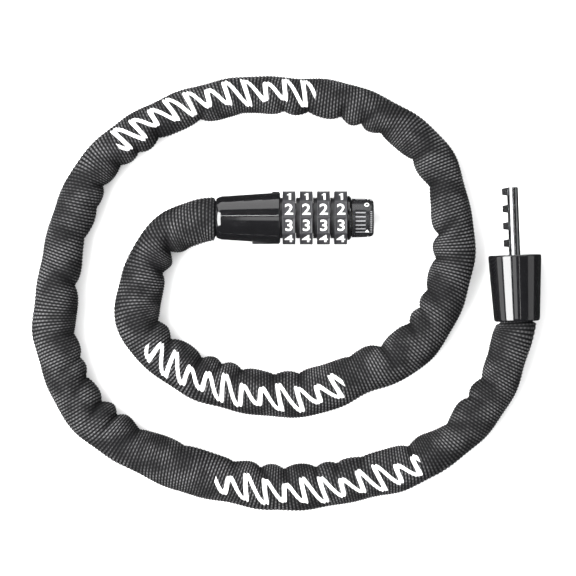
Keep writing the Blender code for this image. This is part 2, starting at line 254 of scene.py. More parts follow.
@dataclass(frozen=True)
class GlossShell:
    """Polished black moulding with a faint orange-peel and handling haze."""

    name: str = "gloss_black_shell"
    colour: tuple[float, float, float] = (0.004, 0.004, 0.0045)
    roughness: float = 0.11

    def material(self) -> bpy.types.Material:
        """Builds the material."""
        shader = Shader(self.name)
        haze = shader.noise(260, 5)
        peel = shader.noise(900, 2)
        shader.feed("Base Color", shader.blend_colour(haze, self.colour, (0.008, 0.008, 0.009)))
        shader.feed("Roughness", self.roughness + haze.ramp(0.45, 0.8) * 0.1)
        shader.feed("Coat Weight", 1.0)
        shader.feed("Coat Roughness", 0.05)
        shader.feed("Coat IOR", 1.6)
        shader.bump(peel, 0.00001, 0.35)
        return shader.material


@dataclass(frozen=True)
class SatinMoulding:
    """Charcoal moulded plastic with a fine spark-eroded grain."""

    name: str = "dial_plastic"
    colour: tuple[float, float, float] = (0.022, 0.022, 0.024)
    roughness: float = 0.3
    grain: float = 2600.0
    coat: float = 0.35

    def material(self) -> bpy.types.Material:
        """Builds the material."""
        shader = Shader(self.name)
        cloud = shader.noise(180, 4)
        grain = shader.noise(self.grain, 3)
        lighter = tuple(1.7 * c for c in self.colour)
        shader.feed("Base Color", shader.blend_colour(cloud, self.colour, lighter))
        shader.feed("Roughness", self.roughness + grain * 0.12)
        shader.feed("Coat Weight", self.coat)
        shader.feed("Coat Roughness", 0.12)
        shader.bump(grain, 0.00003, 0.5)
        return shader.material


@dataclass(frozen=True)
class WhitePrint:
    """Thick white pad-printed paint of the digits and marks."""

    name: str = "white_print"
    colour: tuple[float, float, float] = (0.86, 0.86, 0.85)

    def material(self) -> bpy.types.Material:
        """Builds the material."""
        shader = Shader(self.name)
        wear = shader.noise(1400, 4)
        shader.feed("Base Color", shader.blend_colour(wear.ramp(0.3, 0.7), (0.76, 0.76, 0.75), self.colour))
        shader.feed("Roughness", 0.42 + wear * 0.15)
        shader.bump(wear, 0.00002, 0.4)
        return shader.material


@dataclass(frozen=True)
class Steel:
    """Bare or plated metal with fine scratches along one axis."""

    name: str
    colour: tuple[float, float, float]
    roughness: float = 0.14
    stretch: tuple[float, float, float] = (40.0, 40.0, 2.0)

    def material(self) -> bpy.types.Material:
        """Builds the material."""
        shader = Shader(self.name)
        scratch = shader.noise(60, 6, self.stretch)
        stain = shader.noise(220, 3)
        dark = tuple(0.72 * c for c in self.colour)
        shader.feed("Base Color", shader.blend_colour(stain.ramp(0.35, 0.7), dark, self.colour))
        shader.feed("Metallic", 1.0)
        shader.feed("Roughness", self.roughness + scratch * 0.14)
        shader.bump(scratch, 0.00001, 0.4)
        return shader.material


@dataclass(frozen=True)
class PrintedWeave:
    """Coarse charcoal weave on a cord's own UV map (u round the sleeve, v along it, in metres), with
    three stretches of a slanted reflective wave printed on its upper face."""

    name: str = "sleeve_fabric"
    rib: float = 1.36 * MM
    yarn: float = 1.9 * MM
    skew: float = 0.16
    skew_length: float = 70.0 * MM
    wave_starts: tuple[float, ...] = (0.0755, 0.352, 0.637)
    wave_stretch: float = 0.092
    wave_length: float = 8.4 * MM
    wave_height: float = 4.3 * MM
    swing_height: float = 1.3 * MM
    swing_length: float = 27.0 * MM
    stroke: float = 2.1 * MM
    slant: float = 0.42
    print_centre: float = 1.3 * MM

    def print_mask(self, shader: Shader, u: Socket, v: Socket) -> Socket:
        """Where the reflective waves are.

        Args:
            shader: the material being built; not used.
            u: distance round the sleeve from its top, positive to the outside of the bends.
            v: distance along the sleeve.

        Returns:
            1 on the waves and 0 elsewhere.
        """
        edge = 0.08 * MM
        height = u - self.print_centre
        inside = None
        for start in self.wave_starts:
            part = (v - start).ramp(-edge, edge) * (start + self.wave_stretch - v).ramp(-edge, edge)
            inside = part if inside is None else inside + part
        leaning = v - height * self.slant
        turn = leaning * (2 * math.pi / self.wave_length)
        reach = (leaning * (2 * math.pi / self.swing_length)).sine() * self.swing_height + self.wave_height
        steep = reach * (turn + math.pi / 2).sine() * (2 * math.pi / self.wave_length)
        distance = (height - reach * turn.sine()).absolute() / (steep * steep + 1) ** 0.5
        return distance.ramp(self.stroke / 2 + edge, self.stroke / 2 - edge) * inside

    def material(self) -> bpy.types.Material:
        """Builds the material."""
        shader = Shader(self.name)
        u, v = shader.coordinate("X", "UV"), shader.coordinate("Y", "UV")
        drawn = v + u * (v * (2 * math.pi / self.skew_length)).sine() * self.skew
        row = (drawn / self.rib).floor()
        wave_along = (drawn * (2 * math.pi / self.rib) - math.pi / 2).sine()
        wave_round = ((u / self.yarn + row * 0.5) * (2 * math.pi)).sine()
        crown = wave_along.ramp(-0.5, 0.85)
        strand = wave_round.ramp(-0.4, 0.7)
        fibre = shader.noise(2600, 3, (1, 4, 1), "UV")
        patch = shader.noise(85, 3, (1, 1, 1), "UV")
        # Painted shade: the weave's colour is darkened where a point lies deep in a crease of the folds.
        crease_shade = shader.node("ShaderNodeAttribute", {"attribute_name": "crease_shade"}, output="Fac")
        crease_shade_factor = 1 - crease_shade * 0.85
        weave = crown * (0.3 + strand * 0.7)
        # Painted highlight: bright dashes on the yarn crowns, cut back in the creases, mixed into the colour.
        glint = weave * patch.ramp(0.36, 0.66) * fibre.ramp(0.3, 0.62) * crease_shade_factor
        # The ground tone is darker between the yarn crowns, and darker still in the creases, where shade is
        # painted.
        ground = shader.blend_colour(weave * crease_shade_factor, (0.0035, 0.0035, 0.004), (0.033, 0.033, 0.034))
        lit = shader.blend_colour(glint, ground, (0.19, 0.19, 0.195))
        mask = self.print_mask(shader, u, v)
        white = shader.blend_colour(crown, (0.7, 0.7, 0.7), (0.92, 0.92, 0.92))
        shader.feed("Base Color", shader.blend_colour(mask, lit, white))
        shader.feed("Roughness", 0.85 - mask * 0.3 - glint * 0.25)
        shader.feed("Specular IOR Level", 0.22)
        shader.bump(weave * (1 - mask * 0.6) + fibre * 0.15, 0.00025, 0.9)
        return shader.material


class Finish(Enum):
    """The finishes of the lock's pieces."""

    SHELL = GlossShell()
    DIAL = SatinMoulding()
    INSERT = SatinMoulding("insert_plastic", (0.012, 0.012, 0.013), 0.42, 1800.0)
    COLLAR = SatinMoulding("collar_plastic", (0.012, 0.012, 0.013), 0.2, 1500.0, 0.8)
    # Painted highlight: the grip ribs are painted light grey in place of the reflections on glossy black
    # ribs.
    GRIP = SatinMoulding("grip_highlight_plastic", (0.17, 0.17, 0.175), 0.22, 1500.0, 0.8)
    PRINT = WhitePrint()
    PIN = Steel("polished_steel", (0.4, 0.405, 0.415), 0.08, (60.0, 2.0, 60.0))
    SPRING = Steel("spring_steel", (0.45, 0.46, 0.48), 0.28)
    BRASS = Steel("brass", (0.72, 0.53, 0.24), 0.26, (2.0, 40.0, 40.0))
    CHAIN = Steel("chain_steel", (0.5, 0.5, 0.51), 0.32, (20.0, 20.0, 20.0))
    WEAVE = PrintedWeave()


class Dresser:
    """Makes each finish once and puts it on pieces."""

    def __init__(self) -> None:
        """Starts with no material made."""
        self.made: dict[Finish, bpy.types.Material] = {}

    def dress(self, piece: bpy.types.Object, finish: Finish) -> None:
        """Gives a piece one finish all over.

        Args:
            piece: a new piece or a CAD node.
            finish: which finish.
        """
        if finish not in self.made:
            self.made[finish] = finish.value.material()
        if not piece.material_slots:
            piece.data.materials.append(None)
        for slot in piece.material_slots:
            slot.material = self.made[finish]


# --- Modelling helpers ------------------------------------------------------------------------


def select_only(*pieces: bpy.types.Object) -> None:
    """Leaves exactly these objects selected, the first one active.

    Args:
        pieces: the objects to select.
    """
    bpy.ops.object.select_all(action="DESELECT")
    for piece in pieces:
        piece.select_set(True)
    bpy.context.view_layer.objects.active = pieces[0]


def begin() -> None:
    """Clears the selection before a primitive is added."""
    bpy.ops.object.select_all(action="DESELECT")


def named(name: str) -> bpy.types.Object:
    """Names the active object and bakes its place into its mesh.

    Args:
        name: the piece's name.

    Returns:
        The active object.
    """
    piece = bpy.context.active_object
    piece.name = name
    piece.data.name = name
    bpy.ops.object.transform_apply(location=True, rotation=True, scale=True)
    return piece


def select_faces(piece: bpy.types.Object, wanted: Callable[[Any], bool]) -> None:
    """In edit mode, selects the faces that a test picks.

    Args:
        piece: the mesh object in edit mode.
        wanted: takes a bmesh face and says whether it is picked.
    """
    bpy.ops.mesh.select_mode(type="FACE")
    bpy.ops.mesh.select_all(action="DESELECT")
    shape = bmesh.from_edit_mesh(piece.data)
    for face in shape.faces:
        if wanted(face):
            face.select_set(True)
    bmesh.update_edit_mesh(piece.data)


def apply_modifiers(piece: bpy.types.Object) -> None:
    """Applies every modifier of a piece in order."""
    select_only(piece)
    for modifier in list(piece.modifiers):
        bpy.ops.object.modifier_apply(modifier=modifier.name)


def round_edges(piece: bpy.types.Object, width: float, segments: int = 3, angle: float = 32.0) -> None:
    """Rounds the hard edges and shades the rest smooth.

    Args:
        piece: the mesh object.
        width: bevel width in metres.
        segments: bevel segments.
        angle: edges sharper than this, in degrees, are rounded.
    """
    bevel = piece.modifiers.new("edges", "BEVEL")
    bevel.width = width
    bevel.segments = segments
    bevel.limit_method = "ANGLE"
    bevel.angle_limit = math.radians(angle)
    apply_modifiers(piece)
    bpy.ops.object.shade_smooth_by_angle(angle=math.radians(40))
    weighted = piece.modifiers.new("flat_faces", "WEIGHTED_NORMAL")
    weighted.keep_sharp = True
    apply_modifiers(piece)


def unite(piece: bpy.types.Object, tool: bpy.types.Object, operation: str) -> None:
    """Applies an exact Boolean and removes the tool.

    Args:
        piece: the piece that is kept.
        tool: the object that is joined to it or cut from it.
        operation: UNION or DIFFERENCE.
    """
    boolean = piece.modifiers.new("cut", "BOOLEAN")
    boolean.operation = operation
    boolean.solver = "EXACT"
    boolean.object = tool
    apply_modifiers(piece)
    bpy.data.objects.remove(tool, do_unlink=True)


def merge_into(piece: bpy.types.Object, others: Sequence[bpy.types.Object]) -> bpy.types.Object:
    """Joins objects into one piece.

    Args:
        piece: the object that keeps its name.
        others: the objects joined to it.

    Returns:
        The piece.
    """
    select_only(piece, *others)
    bpy.ops.object.join()
    return piece


def block(low: Sequence[float], high: Sequence[float], bevel: float) -> bpy.types.Object:
    """A bevelled block between two corners, shaped from a cube."""
    begin()
    middle = [(a + b) / 2 for a, b in zip(low, high)]
    bpy.ops.mesh.primitive_cube_add(size=1.0, location=middle)
    bpy.context.active_object.scale = [b - a for a, b in zip(low, high)]
    piece = named("block")
    bpy.ops.object.mode_set(mode="EDIT")
    bpy.ops.mesh.select_all(action="SELECT")
    bpy.ops.mesh.bevel(offset=bevel, segments=2, affect="EDGES")
    bpy.ops.object.mode_set(mode="OBJECT")
    return piece


@dataclass
class Turned:
    """A turned piece about the local X axis, drawn out of a cylinder face by face.

    Stations are (x, radius) pairs. The first two make the cylinder, and the end cap is then extruded
    and scaled through the rest; with through set, the last cap is bridged to the first one.
    """

    name: str
    stations: Sequence[tuple[float, float]]
    sides: int = 96
    through: bool = False
    back: Sequence[tuple[float, float]] = ()

    def build(self) -> bpy.types.Object:
        """Models the piece.

        Returns:
            The new object, with its place in its mesh.
        """
        (x0, r0), (x1, r1) = self.stations[:2]
        begin()
        bpy.ops.mesh.primitive_cylinder_add(
            vertices=self.sides, radius=r0, depth=abs(x1 - x0), end_fill_type="NGON",
            location=((x0 + x1) / 2, 0, 0), rotation=(0, math.pi / 2, 0))
        piece = named(self.name)
        bpy.ops.object.mode_set(mode="EDIT")
        self._cap(piece, 1)
        bpy.ops.transform.resize(value=(1, r1 / r0, r1 / r0), center_override=(x1, 0, 0))
        self._draw((x1, r1), self.stations[2:])
        if self.through:
            shape = bmesh.from_edit_mesh(piece.data)
            for face in shape.faces:
                at_start = abs(face.calc_center_median().x - x0) < 0.001 * MM
                if len(face.verts) == self.sides and face.normal.x < -0.9 and at_start:
                    face.select_set(True)
            bmesh.update_edit_mesh(piece.data)
            bpy.ops.mesh.bridge_edge_loops()
        elif self.back:
            self._cap(piece, -1)
            self._draw((x0, r0), self.back)
        bpy.ops.object.mode_set(mode="OBJECT")
        return piece

    def _cap(self, piece: bpy.types.Object, way: int) -> None:
        """Selects the flat cap that faces along +X or -X."""
        select_faces(piece, lambda f: len(f.verts) == self.sides and f.normal.x * way > 0.9)

    @staticmethod
    def _draw(start: tuple[float, float], stations: Iterable[tuple[float, float]]) -> None:
        """Extrudes the selected cap through the stations."""
        x, r = start
        for next_x, next_r in stations:
            bpy.ops.mesh.extrude_region_move(TRANSFORM_OT_translate={"value": (next_x - x, 0, 0)})
            bpy.ops.transform.resize(value=(1, next_r / r, next_r / r), center_override=(next_x, 0, 0))
            x, r = next_x, next_r


def place(piece: bpy.types.Object, axis: Matrix) -> bpy.types.Object:
    """Moves a piece from its sub-assembly's axis to the row frame, and bakes the place in."""
    piece.matrix_world = axis
    select_only(piece)
    bpy.ops.object.transform_apply(location=True, rotation=True, scale=True)
    return piece


# --- Barrel -----------------------------------------------------------------------------------


@dataclass
class Barrel:
    """The lock barrel: tail housing, four number rings, end flange and setting collar."""

    dresser: Dresser
    front_r: float = 11.2 * MM
    neck_r: float = 8.9 * MM
    dial_r: float = 12.2 * MM
    bore_r: float = 8.3 * MM
    band: float = 5.6 * MM
    digit_height: float = 4.9 * MM
    digit_swell: float = 0.1 * MM
    first_slot: float = 20.7
    slot_pitch: float = 12.6
    pieces: dict[str, bpy.types.Object] = field(default_factory=dict)

    def __post_init__(self) -> None:
        """Reads the barrel's axis from the frame."""
        low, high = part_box("number_ring_1")
        self.axis = Matrix.Translation((0, 0, (low[2] + high[2]) / 2))

    def build(self) -> None:
        """Builds and dresses the whole barrel."""
        self.tail_housing()
        for number in range(1, 5):
            self.number_ring(number)
        self.end_flange()
        self.setting_collar()
        self.stack_spring()

    def keep(self, piece: bpy.types.Object, node: str, body: str, finish: Finish) -> None:
        """Places a piece on the barrel's axis and hands it to its body.

        Args:
            piece: the new piece, on the local axis.
            node: the CAD node that it stands for.
            body: the CAD body that it rides on.
            finish: its finish.
        """
        place(piece, self.axis)
        self.dresser.dress(piece, finish)
        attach(piece, body)
        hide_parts(node)
        self.pieces[piece.name] = piece
        log.info("built %s", piece.name)

    def tail_housing(self) -> None:
        """Tapered gloss shell with the index ribs at its front edge."""
        low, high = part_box("tail_housing")
        tail, front = low[0], high[0]
        shell = Turned("housing_shell", [
            (tail + 2.3 * MM, 9.52 * MM), (front - 0.5 * MM, self.front_r), (front, self.front_r - 0.35 * MM),
            (front, 9.25 * MM), (front - 5.4 * MM, 9.25 * MM),
        ], back=[
            (tail + 1.1 * MM, 9.1 * MM), (tail + 0.25 * MM, 8.75 * MM), (tail, 8.45 * MM), (tail, 7.95 * MM),
            (tail + 1.5 * MM, 7.4 * MM), (tail + 12 * MM, 7.4 * MM),
        ]).build()
        rib_end, half, edge = front - 0.3 * MM, 1.5 * MM, 0.4 * MM
        front_rib = block((front - 12.4 * MM, -11.45 * MM, -half), (rib_end, -9.3 * MM, half), edge)
        back_rib = block((front - 3.6 * MM, 9.3 * MM, -half), (rib_end, 11.55 * MM, half), edge)
        unite(shell, front_rib, "UNION")
        unite(shell, back_rib, "UNION")
        round_edges(shell, 0.16 * MM)
        self.keep(shell, "tail_housing", "barrel", Finish.SHELL)

    def number_ring(self, number: int) -> None:
        """One ring: ten framed facets with their digits, and a plain neck.

        Args:
            number: the ring's place from the tail, from 1.
        """
        node = f"number_ring_{number}"
        low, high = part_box(node)
        end = high[0]
        start, neck = end - self.band, low[0]
        flat = math.cos(math.pi / 10)
        ring = Turned(f"ring_{number}_facets", [
            (start, self.dial_r), (end, self.dial_r),
            (end, self.bore_r / flat), (start + 0.1 * MM, self.bore_r / flat),
        ], sides=10, through=True).build()
        self._turn_corner_up(ring)
        bpy.ops.object.mode_set(mode="EDIT")
        facet_r = 0.9 * self.dial_r
        select_faces(ring, lambda f: abs(f.normal.x) < 0.1 and f.calc_center_median().yz.length > facet_r)
        bpy.ops.mesh.inset(thickness=0.55 * MM, depth=0.0, use_individual=True)
        bpy.ops.mesh.inset(thickness=0.2 * MM, depth=-0.3 * MM, use_individual=True)
        bpy.ops.object.mode_set(mode="OBJECT")
        round_edges(ring, 0.24 * MM, 3, 20)
        necks = Turned(f"ring_{number}_neck", [
            (neck, self.neck_r), (start + 0.3 * MM, self.neck_r), (start + 0.3 * MM, self.bore_r),
            (neck + 0.1 * MM, self.bore_r),
        ], through=True).build()
        round_edges(necks, 0.12 * MM)
        merge_into(ring, [necks])
        self.keep(ring, node, f"dial_{number}", Finish.DIAL)
        self.digits(number, (start + end) / 2, self.dial_r * flat - 0.3 * MM)

    @staticmethod
    def _turn_corner_up(ring: bpy.types.Object) -> None:
        """Turns the ring about X so that an edge between two facets faces straight up."""
        highest = max(ring.data.vertices, key=lambda v: v.co.z)
        turn = math.atan2(highest.co.y, highest.co.z)
        ring.matrix_world = Matrix.Rotation(turn, 4, "X")
        select_only(ring)
        bpy.ops.object.transform_apply(location=True, rotation=True, scale=True)

    def digits(self, number: int, centre: float, seat: float) -> None:
        """The ten printed digits of one ring, as one piece.

        Args:
            number: the ring's place from the tail.
            centre: the facets' middle along X.
            seat: distance of the printed faces from the axis.
        """
        made = []
        for digit in range(10):
            angle = math.radians(54 - 36 * (digit - 1))
            glyph = self._glyph(str(digit))
            middle = self._middle(glyph)
            glyph.matrix_world = (Matrix.Translation((centre, 0, 0)) @ Matrix.Rotation(-angle, 4, "X")
                                  @ Matrix.Translation((-middle.x, -middle.y, seat + 0.04 * MM)))
            select_only(glyph)
            made.append(named(f"digit_{number}_{digit}"))
        piece = merge_into(made[0], made[1:])
        piece.name = f"ring_{number}_digits"
        place(piece, self.axis)
        self.dresser.dress(piece, Finish.PRINT)
        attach(piece, f"dial_{number}")
        log.info("printed ring %d", number)

    def _glyph(self, text: str) -> bpy.types.Object:
        """One raised digit as a mesh, lying flat at the origin.

        Args:
            text: the digit.

        Returns:
            The digit's mesh object.
        """
        begin()
        bpy.ops.object.text_add()
        letter = bpy.context.active_object
        letter.data.body = text
        letter.data.size = self.digit_height / 0.7
        letter.data.offset = self.digit_swell
        letter.data.extrude = 0.05 * MM
        letter.data.resolution_u = 5
        bpy.ops.object.convert(target="MESH")
        glyph = bpy.context.active_object
        glyph.scale.x = 1.12
        glyph = named("digit")
        if text == "1":
            top = max(v.co.y for v in glyph.data.vertices)
            left = min(v.co.x for v in glyph.data.vertices)
            flag = block((-0.75 * MM, -0.34 * MM, -0.045 * MM), (0.35 * MM, 0.34 * MM, 0.045 * MM), 0.02 * MM)
            flag.matrix_world = (Matrix.Translation((left - 0.05 * MM, top - 0.9 * MM, 0))
                                 @ Matrix.Rotation(math.radians(33), 4, "Z"))
            flag = named("flag")
            merge_into(glyph, [flag])
        return glyph

    @staticmethod
    def _middle(glyph: bpy.types.Object) -> Vector:
        """The middle of a glyph's own box."""
        corners = [Vector(c) for c in glyph.bound_box]
        return (Vector(map(min, zip(*corners))) + Vector(map(max, zip(*corners)))) / 2

    def end_flange(self) -> None:
        """Stepped collar between the last ring and the setting collar."""
        low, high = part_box("end_flange")
        lip = 0.22 * MM
        flange = Turned("flange_ring", [
            (low[0], 9.7 * MM), (low[0] + 0.7 * MM, 9.7 * MM), (high[0], 8.7 * MM), (high[0], 8.0 * MM),
            (high[0] + lip, 8.0 * MM), (high[0] + lip, 7.0 * MM), (low[0] - lip, 7.0 * MM),
            (low[0] - lip, 8.6 * MM),
        ], through=True).build()
        round_edges(flange, 0.12 * MM)
        self.keep(flange, "end_flange", "barrel", Finish.SHELL)

    def stack_spring(self) -> None:
        """Coil spring that presses the wheel stack home."""
        low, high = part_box("stack_spring")
        wire = 0.32 * MM
        coil_r = (high[2] - low[2]) / 2 - wire
        turns = 3
        begin()
        bpy.ops.mesh.primitive_circle_add(vertices=10, radius=wire, fill_type="NOTHING",
                                          location=(low[0] + wire, coil_r, 0))
        coil = named("coil_spring")
        screw = coil.modifiers.new("coil", "SCREW")
        screw.axis = "X"
        screw.angle = 2 * math.pi * turns
        screw.screw_offset = high[0] - low[0] - 2 * wire
        screw.steps = screw.render_steps = 30 * turns
        apply_modifiers(coil)
        bpy.ops.object.mode_set(mode="EDIT")
        bpy.ops.mesh.select_all(action="SELECT")
        bpy.ops.mesh.fill_holes(sides=10)
        bpy.ops.mesh.select_all(action="SELECT")
        bpy.ops.mesh.normals_make_consistent(inside=False)
        bpy.ops.object.mode_set(mode="OBJECT")
        bpy.ops.object.shade_smooth_by_angle(angle=math.radians(50))
        self.keep(coil, "stack_spring", "barrel", Finish.SPRING)
        slide = next(joint for joint in frame["joints"] if joint["name"] == "stack_slide")
        travel = slide["range_m"][1]
        1 - travel / (high[0] - low[0])
        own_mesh(coil)

    def setting_collar(self) -> None:
        """End knob with its mouth, grip ribs, end knurl and two printed marks."""
        low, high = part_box("setting_collar")
        start, end = low[0], high[0]
        collar = Turned("collar_knob", [
            (start, 8.5 * MM), (end - 2.75 * MM, 8.4 * MM), (end - 2.7 * MM, 7.95 * MM),
            (end - 2.25 * MM, 7.95 * MM), (end - 2.2 * MM, 8.35 * MM), (end - 0.7 * MM, 8.0 * MM),
            (end, 7.3 * MM), (end, 5.0 * MM), (start + 0.1 * MM, 5.0 * MM),
        ], through=True).build()
        first, pitch = self.first_slot, self.slot_pitch
        half, edge = 0.42 * MM, 0.1 * MM
        slots, ribs = [], []
        for patch in range(3):
            for k in range(7):
                turn = Matrix.Rotation(math.radians(120 * patch - first + pitch * k), 4, "X")
                slot = block((start + 1.2 * MM, -half, 7.75 * MM), (start + 6.1 * MM, half, 9.2 * MM), edge)
                slot.matrix_world = turn
                slots.append(named("slot"))
            for k in range(6):
                angle = math.radians(first - pitch * (k + 0.5) - 120 * patch)
                ribs.append(self._rib(start + 1.5 * MM, start + 5.8 * MM, 8.16 * MM, 0.4 * MM, angle))
            for k in range(12):
                angle = math.radians(first - pitch / 2 * (k + 0.5) - 120 * patch)
                ribs.append(self._rib(end - 2.0 * MM, end - 0.8 * MM, 8.0 * MM, 0.24 * MM, angle))
        unite(collar, merge_into(slots[0], slots[1:]), "DIFFERENCE")
        round_edges(collar, 0.12 * MM)
        self.keep(collar, "setting_collar", "collar", Finish.COLLAR)
        grips = merge_into(ribs[0], ribs[1:])
        grips.name = "collar_grips"
        place(grips, self.axis)
        # The ribs' light grey colour is a painted highlight.
        self.dresser.dress(grips, Finish.GRIP)
        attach(grips, "collar")
        self.collar_marks(end)

    @staticmethod
    def _rib(start: float, end: float, seat: float, radius: float, angle: float) -> bpy.types.Object:
        """A half-sunk round rib along X.

        Args:
            start: its first end.
            end: its other end.
            seat: distance of its middle from the axis.
            radius: its own radius.
            angle: its turn from straight up, positive towards +Y.

        Returns:
            The rib.
        """
        begin()
        bpy.ops.mesh.primitive_cylinder_add(vertices=12, radius=radius, depth=end - start,
                                            location=((start + end) / 2, 0, 0), rotation=(0, math.pi / 2, 0))
        rib = named("rib")
        bpy.ops.object.mode_set(mode="EDIT")
        select_faces(rib, lambda f: len(f.verts) == 12)
        bpy.ops.mesh.inset(thickness=radius * 0.45, depth=radius * 0.3, use_individual=True)
        bpy.ops.object.mode_set(mode="OBJECT")
        bpy.ops.object.shade_smooth_by_angle(angle=math.radians(50))
        rib.matrix_world = Matrix.Rotation(-angle, 4, "X") @ Matrix.Translation((0, 0, seat))
        return named("rib")

    def collar_marks(self, end: float) -> None:
        """A small printed ring and a small printed arrow head, on the collar's two sides.

        Args:
            end: x of the collar's end face.
        """
        x = end - 3.1 * MM
        begin()
        bpy.ops.mesh.primitive_torus_add(major_segments=32, minor_segments=8, major_radius=0.85 * MM,
                                         minor_radius=0.26 * MM)
        ring = named("open_mark")
        bpy.ops.object.shade_smooth()
        ring.matrix_world = Matrix.Rotation(math.radians(-42), 4, "X") @ Matrix.Translation((x, 0, 8.36 * MM))
        ring = named("open_mark")
        begin()
        bpy.ops.mesh.primitive_cone_add(vertices=3, radius1=1.2 * MM, radius2=1.15 * MM, depth=0.12 * MM)
        arrow = named("arrow_mark")
        bpy.ops.object.mode_set(mode="EDIT")
        bpy.ops.mesh.select_all(action="SELECT")
        bpy.ops.mesh.bevel(offset=0.05 * MM, segments=2, affect="EDGES")
        bpy.ops.object.mode_set(mode="OBJECT")
        arrow.matrix_world = (Matrix.Rotation(math.radians(46), 4, "X")
                              @ Matrix.Translation((x + 0.2 * MM, 0, 8.4 * MM)))
        arrow = named("arrow_mark")
        marks = merge_into(ring, [arrow])
        marks.name = "collar_marks"
        place(marks, self.axis)
        self.dresser.dress(marks, Finish.PRINT)
        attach(marks, "collar")


# --- Plug -------------------------------------------------------------------------------------


@dataclass
class Plug:
    """The cup-shaped plug and its toothed locking pin."""

    dresser: Dresser
    length: float = 29.1 * MM
    base_r: float = 10.05 * MM
    mouth_r: float = 11.7 * MM
    base: tuple[float, float, float] = (97.7 * MM, -45.4 * MM, 11.9 * MM)
    heading: float = math.radians(92)
    pin_reach: float = 29.9 * MM
    pin_r: float = 2.45 * MM
    tooth_r: float = 4.6 * MM
    first_tooth: float = 5.43 * MM
    tooth_pitch: float = 7.57 * MM

    def __post_init__(self) -> None:
        """Places the plug's axis."""
        self.axis = Matrix.Translation(self.base) @ Matrix.Rotation(self.heading, 4, "Z")
        self.pieces: list[bpy.types.Object] = []

    def build(self) -> None:
        """Builds and dresses the plug."""
        self.shell()
        self.pin()

    def keep(self, piece: bpy.types.Object, node: str, finish: Finish) -> None:
        """Places a piece on the plug's axis and hands it to the plug's body."""
        place(piece, self.axis)
        self.dresser.dress(piece, finish)
        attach(piece, "plug")
        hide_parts(node)
        self.pieces.append(piece)
        log.info("built %s", piece.name)

    def shell(self) -> None:
        """Conical gloss shell with its cup and the notch in its rim."""
        slope = (self.mouth_r - self.base_r) / self.length
        end = self.length
        shell = Turned("plug_cone", [
            (1.2 * MM, self.base_r + slope * 1.2 * MM), (end - 0.6 * MM, self.mouth_r - slope * 0.6 * MM),
            (end, self.mouth_r - 0.4 * MM), (end, 9.8 * MM),
            (end - 1.2 * MM, 9.3 * MM), (12.2 * MM, 9.3 * MM),
        ], back=[
            (0.4 * MM, self.base_r - 0.2 * MM), (0.0, self.base_r - 0.75 * MM), (0.0, 7.95 * MM),
            (1.5 * MM, 7.4 * MM), (9.9 * MM, 7.4 * MM),
        ]).build()
        notch = block((end - 2.6 * MM, 8.4 * MM, -1.0 * MM), (end + 1.0 * MM, 12.6 * MM, 1.0 * MM), 0.2 * MM)
        unite(shell, notch, "DIFFERENCE")
        round_edges(shell, 0.16 * MM)
        self.keep(shell, "plug_shell", Finish.SHELL)

    def pin(self) -> None:
        """Round steel bar with four trapezoid teeth on one side."""
        tip = self.length + self.pin_reach
        bar = Turned("steel_pin", [
            (11.2 * MM, 4.4 * MM), (12.0 * MM, 4.4 * MM), (12.0 * MM, self.pin_r),
            (tip - 0.25 * MM, self.pin_r),
            (tip, self.pin_r - 0.25 * MM),
        ], sides=64).build()
        for number in range(4):
            distance = self.first_tooth + self.tooth_pitch * number
            unite(bar, self._tooth(self.length + distance), "UNION")
        round_edges(bar, 0.12 * MM, 2, 25)
        self.keep(bar, "locking_pin", Finish.PIN)

    def _tooth(self, x: float) -> bpy.types.Object:
        """One tooth: a block drawn in towards its crest.

        Args:
            x: its middle along the axis.

        Returns:
            The tooth.
        """
        begin()
        bpy.ops.mesh.primitive_cube_add(size=1.0, location=(x - 0.1 * MM, 1.4 * MM, 0))
        bpy.context.active_object.scale = (3.6 * MM, 1.4 * MM, 2.2 * MM)
        tooth = named("tooth")
        bpy.ops.object.mode_set(mode="EDIT")
        select_faces(tooth, lambda f: f.normal.y > 0.9)
        bpy.ops.mesh.extrude_region_move(TRANSFORM_OT_translate={"value": (0, self.tooth_r - 2.1 * MM, 0)})
        bpy.ops.transform.resize(value=(2.8 / 3.6, 1, 1), center_override=(x - 0.1 * MM, self.tooth_r, 0))
        bpy.ops.object.mode_set(mode="OBJECT")
        return tooth


# --- Sleeve -----------------------------------------------------------------------------------


